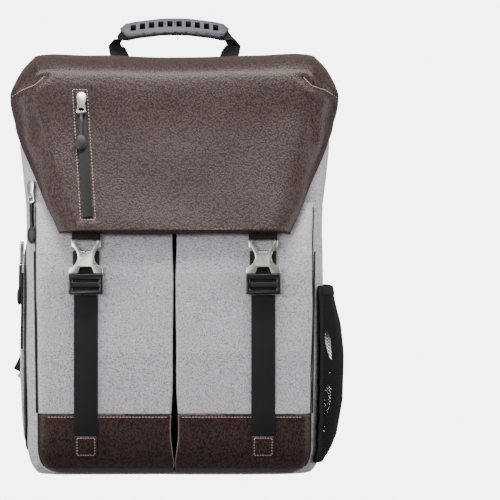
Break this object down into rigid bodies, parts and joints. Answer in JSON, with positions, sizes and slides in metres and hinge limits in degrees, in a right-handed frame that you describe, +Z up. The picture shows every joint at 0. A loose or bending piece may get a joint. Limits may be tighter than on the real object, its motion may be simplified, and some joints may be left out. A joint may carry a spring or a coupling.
{
  "type": "camera backpack",
  "caption": "Grey cloth camera backpack with a leather flap buckled down over front pockets, a net side pocket, zipped doors and a padded harness",
  "frame": {"origin": "middle of the flat base, on the ground", "axes": "+X to the viewer's right of the front, -Y out of the front, +Z up along the bag's height"},
  "size_m": [0.3636, 0.2569, 0.5028],
  "materials": {
    "grey_cloth": "heathered grey weave, matt",
    "leather": "pebbled dark brown, satin",
    "webbing": "black woven webbing",
    "netting": "open black knitted net",
    "air_mesh": "black spacer mesh, padded",
    "black_plastic": "black moulded plastic",
    "nickel": "satin nickel coloured die casting",
    "rubber": "matt grey moulded rubber",
    "zip_tape": "coated dark grey zip tape"
  },
  "bodies": {
    "root": {"main_body": "grey_cloth", "front_pocket_left": "grey_cloth", "leather_foot_left": "leather", "front_pocket_right": "grey_cloth", "leather_foot_right": "leather", "pleat_liner": "webbing", "flap": "leather", "flap_zip_tape": "zip_tape", "flap_zip_slider": "nickel", "flap_zip_pull": "rubber", "front_strap_left": "webbing", "strap_tab_left": "leather", "flap_loop_left": "webbing", "buckle_plastic_left": "black_plastic", "buckle_metal_left": "nickel", "pocket_zip_left": "zip_tape", "front_strap_right": "webbing", "strap_tab_right": "leather", "flap_loop_right": "webbing", "buckle_plastic_right": "black_plastic", "buckle_metal_right": "nickel", "pocket_zip_right": "zip_tape", "side_pocket_net": "netting", "side_pocket_band": "webbing", "side_door": "grey_cloth", "side_door_zip": "zip_tape", "back_door": "grey_cloth", "back_door_zip": "zip_tape", "pocket_zip_slider": "nickel", "pocket_zip_pull": "rubber", "side_door_front_slider": "nickel", "side_door_front_pull": "rubber", "side_door_back_slider": "nickel", "side_door_back_pull": "rubber", "back_band": "webbing", "back_pad_left": "air_mesh", "lumbar_pad_left": "air_mesh", "shoulder_strap_left": "air_mesh", "strap_anchor_left": "grey_cloth", "lower_webbing_left": "webbing", "webbing_tail_left": "webbing", "strap_adjuster_left": "black_plastic", "back_pad_right": "air_mesh", "lumbar_pad_right": "air_mesh", "shoulder_strap_right": "air_mesh", "strap_anchor_right": "grey_cloth", "lower_webbing_right": "webbing", "webbing_tail_right": "webbing", "strap_adjuster_right": "black_plastic", "handle_webbing": "webbing", "handle_grip": "rubber"}
  },
  "joints": []
}
